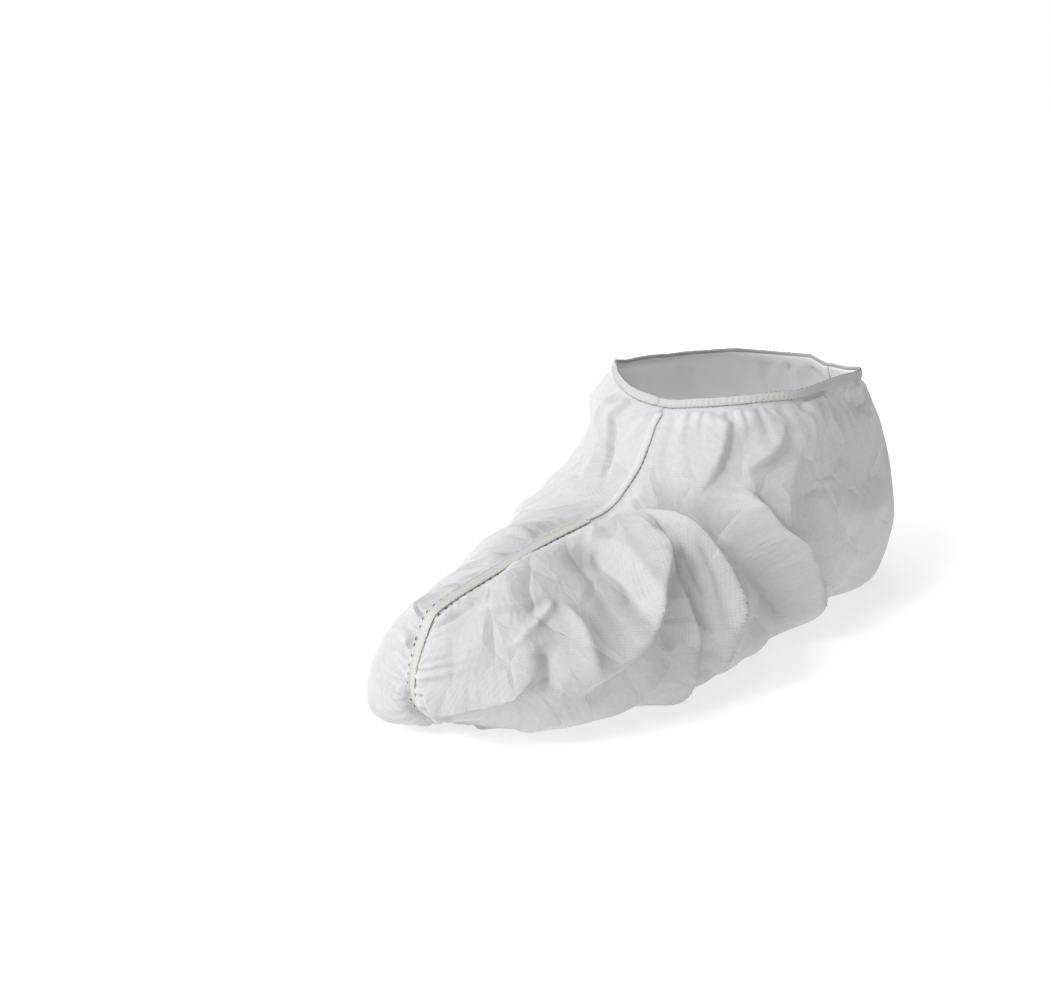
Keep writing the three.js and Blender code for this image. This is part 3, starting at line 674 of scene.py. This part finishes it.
# ---------------------------------------------------------------------------------------------
# The toe elastic. A flat ribbed tape, sewn on stretched along both its edges over the seam, from
# the instep over the toe to the sole. Let go, it gathers the fabric on either side.
TAPE_WIDTH = 7.0
RIB_PITCH = 1.5
TAPE_STITCH = 4.6
FRAYED_LOOPS = 7
tape, _, _ = new_material("ribbed_elastic", Base_Color=(0.5, 0.5, 0.48, 1), Roughness=0.8)

far, path, out = seam_path(at_section(ALONG_TOP, 6.25), at_section(ALONG_FOOT, 2.33))
across = np.tile([1.0, 0, 0], (len(far), 1))
ribs = 0.5 + 0.5 * np.cos(2 * np.pi * far / RIB_PITCH)
section = np.array([[-1, 0.2], [-1, 0.7], [-0.86, 1], [-0.4, 1], [0, 1], [0.4, 1], [0.86, 1],
                    [1, 0.7], [1, 0.2]])
profile = np.tile(section, (len(far), 1, 1))
edge = 0.12 * np.sin(2 * np.pi * far / 4.6) + 0.08 * np.sin(2 * np.pi * far / 2.9)
front = smooth((far - at_section(ALONG_TOP, 0) + 30) / 75)
profile[..., 0] *= ((TAPE_WIDTH / 2 + edge) * (1 - 0.6 * front))[:, None]
profile[..., 1] = 0.15 + profile[..., 1] * (0.68 + 0.17 * ribs)[:, None]
elastic = sweep("toe_elastic_tape", path, across, out, profile[:, ::-1])
elastic.data.materials.append(tape)
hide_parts("toe_elastic")

thread, _, _ = new_material("sewing_thread", Base_Color=(0.72, 0.72, 0.7, 1), Roughness=0.6)
for side, label in ((1, "left"), (-1, "right")):
    # Dark lenses just outside each tape edge, one per stitch, are painted shade of the puckers that the
    # stitches pull into the cloth.
    spots, run, lift, random = marked_line(
        TAPE_STITCH, path, out, np.full(len(path), -side * (TAPE_WIDTH / 2 + 0.35)), 0.7, 5 + side)
    length = random.uniform(0.4, 1.1, len(spots))
    pucker_shade = beads(f"tape_pucker_shade_{label}", spots + lift * 0.2, run, lift,
                    np.stack([length, random.uniform(0.3, 0.6, len(spots)), 0.35 + 0 * length], -1))
    pucker_shade.data.materials.append(shadow)
    spots, run, lift, random = marked_line(
        TAPE_STITCH / 2, path, out, np.full(len(path), -side * (TAPE_WIDTH / 2 - 0.75)), 0.1, 9)
    stitches = beads(f"tape_stitches_{label}", spots + lift * 1.02, run, lift,
                     np.tile([TAPE_STITCH / 4 - 0.12, 0.2, 0.16], (len(spots), 1)))
    stitches.data.materials.append(thread)

# The tape's upper start is frayed: short loops of thread stand up along the wearer's right edge.
random = np.random.default_rng(12)
for number in range(FRAYED_LOOPS):
    at = int((2 + number * 4 + random.uniform(-1.4, 1.4)) / STEP)
    angle = np.linspace(0, math.pi * random.uniform(0.8, 1.15), 12)
    width, height = random.uniform(0.5, 1.1), random.uniform(0.5, 1.3)
    slant = random.uniform(-0.8, 0.8)
    run = path[at + 1] - path[at]
    run /= np.linalg.norm(run)
    base = path[at] - [TAPE_WIDTH / 2 - 0.2, 0, 0] + out[at] * 0.7
    loop = (base + np.outer(width * np.cos(angle) + slant * np.sin(angle), run)
            + np.outer(height * np.sin(angle), out[at] * 0.75 - [0.66, 0, 0]))
    tangent = np.gradient(loop, axis=0)
    tangent /= np.linalg.norm(tangent, axis=1, keepdims=True)
    aside = np.cross(tangent, run)
    aside /= np.linalg.norm(aside, axis=1, keepdims=True)
    round_section = 0.16 * np.array([[math.cos(a), math.sin(a)] for a in np.arange(6) * math.tau / 6])
    strand = sweep(f"frayed_loop_{number}", loop, aside, np.cross(tangent, aside),
                   np.tile(round_section, (len(loop), 1, 1)))
    strand.data.materials.append(thread)

# ---------------------------------------------------------------------------------------------
# The sole seam. The same seam runs on inside, as a flat strip of turned edges under the foot and
# up the heel. It doesn't show from outside.
far, path, out = seam_path(at_section(ALONG_FOOT, 3), at_section(ALONG_FOOT, 11.67))
across = np.tile([1.0, 0, 0], (len(far), 1))
section = np.array([[3, -1.5], [-3, -1.5], [-3, -2.0], [3, -2.0]])
inner = sweep("sole_seam_strip", path, across, out, np.tile(section, (len(far), 1, 1)))
inner.data.materials.append(fabric)
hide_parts("sole_seam")

# ---------------------------------------------------------------------------------------------
# The collar. A ribbed elastic tape is folded over the edge of the opening and stitched through
# near both its edges. Its last stretch laps over its start, beside the front seam.
BINDING_HEIGHT = 4.2
BINDING_GAP = 0.15
INNER_LEG = 0.3
BINDING_THICKNESS = 0.4
INNER_THICKNESS = 0.3
LAP_THICKNESS = 0.7
LAP_START = 7
LAP_LENGTH = 26
COLLAR_RIB = 3.2
COLLAR_STITCH = 2.6
EDGE_RISE = 0.6


def collar_ring():
    """Stations round the rim from the front of the left panel: place, up, out."""
    places, ups, outs = [], [], []
    for side, name in ((1, "left"), (-1, "right")):
        grid = grids[name]
        foot = grid[-RIM_ROWS - 1]
        up = grid[-1] - foot
        up /= np.linalg.norm(up, axis=1, keepdims=True)
        normal = outward(grid)[-1]
        normal[0], normal[-1] = normal[1], normal[-2]
        normal = normal - np.sum(normal * up, 1, keepdims=True) * up
        normal /= np.linalg.norm(normal, axis=1, keepdims=True)
        for values, into in ((grid[-1], places), (up, ups), (normal, outs)):
            turned = values * [side, 1, 1]
            into.append(turned if side > 0 else turned[::-1])
    places, ups, outs = (np.concatenate(v) for v in (places, ups, outs))
    closed = np.concatenate([places, places[:1]])
    far = np.concatenate([[0], np.cumsum(np.linalg.norm(np.diff(closed, axis=0), axis=1))])
    even = np.linspace(0, far[-1], int(far[-1] / STEP), endpoint=False)

    def spaced(values):
        values = np.concatenate([values, values[:1]])
        return np.stack([np.interp(even, far, values[:, k]) for k in range(3)], -1)

    def calm(values, rounds):
        for _ in range(rounds):
            values = (np.roll(values, 1, 0) + 2 * values + np.roll(values, -1, 0)) / 4
        return values

    ring = calm(spaced(places), 40)
    up, outs = calm(spaced(ups), 60), calm(spaced(outs), 60)
    return even, far[-1], ring, up, outs / np.linalg.norm(outs, axis=1, keepdims=True)


collar_cloth, _, _ = new_material("collar_tape", Base_Color=(0.46, 0.46, 0.445, 1), Roughness=0.8)
far, whole, ring, up, out = collar_ring()
ribs = 0.5 + 0.5 * np.cos(2 * np.pi * far / (whole / round(whole / COLLAR_RIB)))
bottom = -BINDING_HEIGHT + 0.15 * np.sin(2 * np.pi * far / (whole / round(whole / 2.7)))
lapped = (1.5 * whole - far - LAP_START) % whole - whole / 2
wall = -FABRIC_THICKNESS - BINDING_GAP
heights = [0.0, 0.12, 0.3, 0.5, 0.7, 0.88, 1.0]


def tape_layer(part, thickness, rib_height):
    """How thick the tape is between its lower edge, 0, and the edge of the opening, 1."""
    return thickness * (0.55 + 0.45 * min(1, 6 * part * (1 - part) + 0.3)) + rib_height * ribs * (
        0 < part < 1)


outer_faces, inner_faces = [], []
for part in heights:
    reach = 2.2 * np.sqrt(max(1 - (2 * part - 1) ** 2, 0)) - 2.2
    lap = LAP_THICKNESS * smooth((lapped + reach) / 0.5) * smooth((LAP_LENGTH - lapped) / 6)
    lap -= 0.3 * np.exp(-(((lapped + reach + 0.4) / 0.4) ** 2))
    outer_faces.append(np.stack([BINDING_GAP + tape_layer(part, BINDING_THICKNESS, 0.2) + lap,
                                 bottom * (1 - part) + (EDGE_RISE + lap / 2) * part], -1))
for part in heights[::-1]:
    inner_faces.append(np.stack([wall - tape_layer(part, INNER_THICKNESS, 0.1),
                                 INNER_LEG * bottom * (1 - part) + EDGE_RISE * part], -1))
channel = np.stack([
    np.stack([np.full_like(far, wall), INNER_LEG * bottom + 0.1], -1),
    np.stack([np.full_like(far, wall), np.full_like(far, BINDING_GAP)], -1),
    np.stack([np.full_like(far, BINDING_GAP), np.full_like(far, BINDING_GAP)], -1),
    np.stack([np.full_like(far, BINDING_GAP), bottom + 0.1], -1),
], 1)
profile = np.concatenate([np.stack(outer_faces, 1), np.stack(inner_faces, 1), channel], 1)
count, corners = profile.shape[:2]
rings = ring[:, None] + profile[..., :1] * out[:, None] + profile[..., 1:] * up[:, None]
number = np.arange(count * corners).reshape(count, corners)
after = np.roll(number, -1, 0)
faces = np.stack([number, np.roll(number, -1, 1), np.roll(after, -1, 1), after], -1).reshape(-1, 4)
collar = make_piece("collar_tape", rings.reshape(-1, 3), faces[:, ::-1].tolist())
collar.data.materials.append(collar_cloth)
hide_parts("collar_binding")

# Dark lenses along the tape's lower edge and along the edge of the opening are painted shade of the
# needle's holes there.
foot_line = ring + out * (BINDING_GAP + 0.2) + up * (bottom[:, None] - 0.25)
spots, run, lift, random = marked_line(COLLAR_STITCH, foot_line, out, 0 * far, 0.35, 15)
shadows = beads("collar_needle_holes", spots, run, lift,
                np.stack([random.uniform(0.1, 0.6, len(spots)), random.uniform(0.08, 0.18, len(spots)),
                          np.full(len(spots), 0.2)], -1))
shadows.data.materials.append(shadow)
edge_line = ring + out * 0.1 + up * EDGE_RISE
spots, run, lift, random = marked_line(COLLAR_STITCH, edge_line, up, 0 * far, 0.5, 17)
marks = beads("collar_edge_holes", spots, run, lift,
              np.stack([random.uniform(0.3, 1.0, len(spots)), random.uniform(0.3, 0.5, len(spots)),
                        random.uniform(0.2, 0.5, len(spots))], -1))
marks.data.materials.append(shadow)
stitch_line = ring + out * (BINDING_GAP + BINDING_THICKNESS + 0.1) + up * (bottom[:, None] + 1.1)
spots, run, lift, random = marked_line(COLLAR_STITCH, stitch_line, out, 0 * far, 0.05, 16)
seam = beads("collar_stitches", spots, run, lift,
             np.tile([COLLAR_STITCH / 2 - 0.15, 0.18, 0.14], (len(spots), 1)))
seam.data.materials.append(collar_cloth)

# ---------------------------------------------------------------------------------------------
# The studio. The cover stands on a white table that is lit from below. A broad lamp shines from
# above the toe. The walls are bright towards the toe and the wearer's right, and dim behind.
FLOOR_GLOW = 0.56
FLOOR_HALF = 8
FLOOR_DROP = 0.0004
BRIGHT_SIDE = (-0.5, -0.6, 0.62)
SKY_BRIGHT = 1.05
KEY_ENERGY = 1.9
KEY_ANGLE = 20
KEY_DIRECTION = (0.12, 0.82, -0.68)
AZIMUTH, ELEVATION = math.radians(42), math.radians(17)
camera_data = bpy.data.cameras.new("camera")
camera_data.lens = 49.32
camera_data.sensor_width = 36
camera_data.clip_start = 0.01
camera = bpy.data.objects.new("camera", camera_data)
bpy.context.scene.collection.objects.link(camera)
back = Vector((math.sin(AZIMUTH) * math.cos(ELEVATION), -math.cos(AZIMUTH) * math.cos(ELEVATION),
               math.sin(ELEVATION)))
camera.location = (0.4607, -0.6306, 0.3184)
camera.rotation_euler = (-back).to_track_quat("-Z", "Y").to_euler()
bpy.context.scene.camera = camera

floor_mesh = bpy.data.meshes.new("floor")
floor_mesh.from_pydata([(FLOOR_HALF * x, FLOOR_HALF * y, -FLOOR_DROP)
                        for x, y in ((-1, -1), (1, -1), (1, 1), (-1, 1))], [], [(0, 1, 2, 3)])
floor = bpy.data.objects.new("floor", floor_mesh)
bpy.context.scene.collection.objects.link(floor)
floor_finish, _, _ = new_material("pale_floor", Base_Color=(0.6, 0.6, 0.6, 1), Roughness=1.0,
                                  Emission_Color=(1, 1, 1, 1), Emission_Strength=FLOOR_GLOW)
floor.data.materials.append(floor_finish)

world = bpy.data.worlds.new("studio")
world.use_nodes = True
start = Socket(world.node_tree)
place = start.node("ShaderNodeTexCoord", {}, {}, "Generated")
height = start.node("ShaderNodeSeparateXYZ", {}, {0: place}, "Z")
towards = start.node("ShaderNodeVectorMath", {"operation": "DOT_PRODUCT"},
                     {0: place, 1: BRIGHT_SIDE}, "Value")
above = start.node("ShaderNodeMapRange", {"interpolation_type": "SMOOTHSTEP"},
                   {"Value": height, "From Min": 0.06, "From Max": 0.2})
sky = start.node("ShaderNodeMapRange", {"interpolation_type": "SMOOTHSTEP"},
                 {"Value": towards, "From Min": -0.4, "From Max": 0.85, "To Max": SKY_BRIGHT})
strength = 1 - above + above * sky
world.node_tree.links.new(strength.output, world.node_tree.nodes["Background"].inputs["Strength"])
world.node_tree.nodes["Background"].inputs["Color"].default_value = (1, 1, 1, 1)
bpy.context.scene.world = world

key = bpy.data.lights.new("key", "SUN")
key.energy = KEY_ENERGY
key.angle = math.radians(KEY_ANGLE)
key_light = bpy.data.objects.new("key", key)
bpy.context.scene.collection.objects.link(key_light)
key_light.rotation_euler = Vector(KEY_DIRECTION).to_track_quat("-Z", "Y").to_euler()
bpy.context.scene.view_settings.view_transform = "Standard"
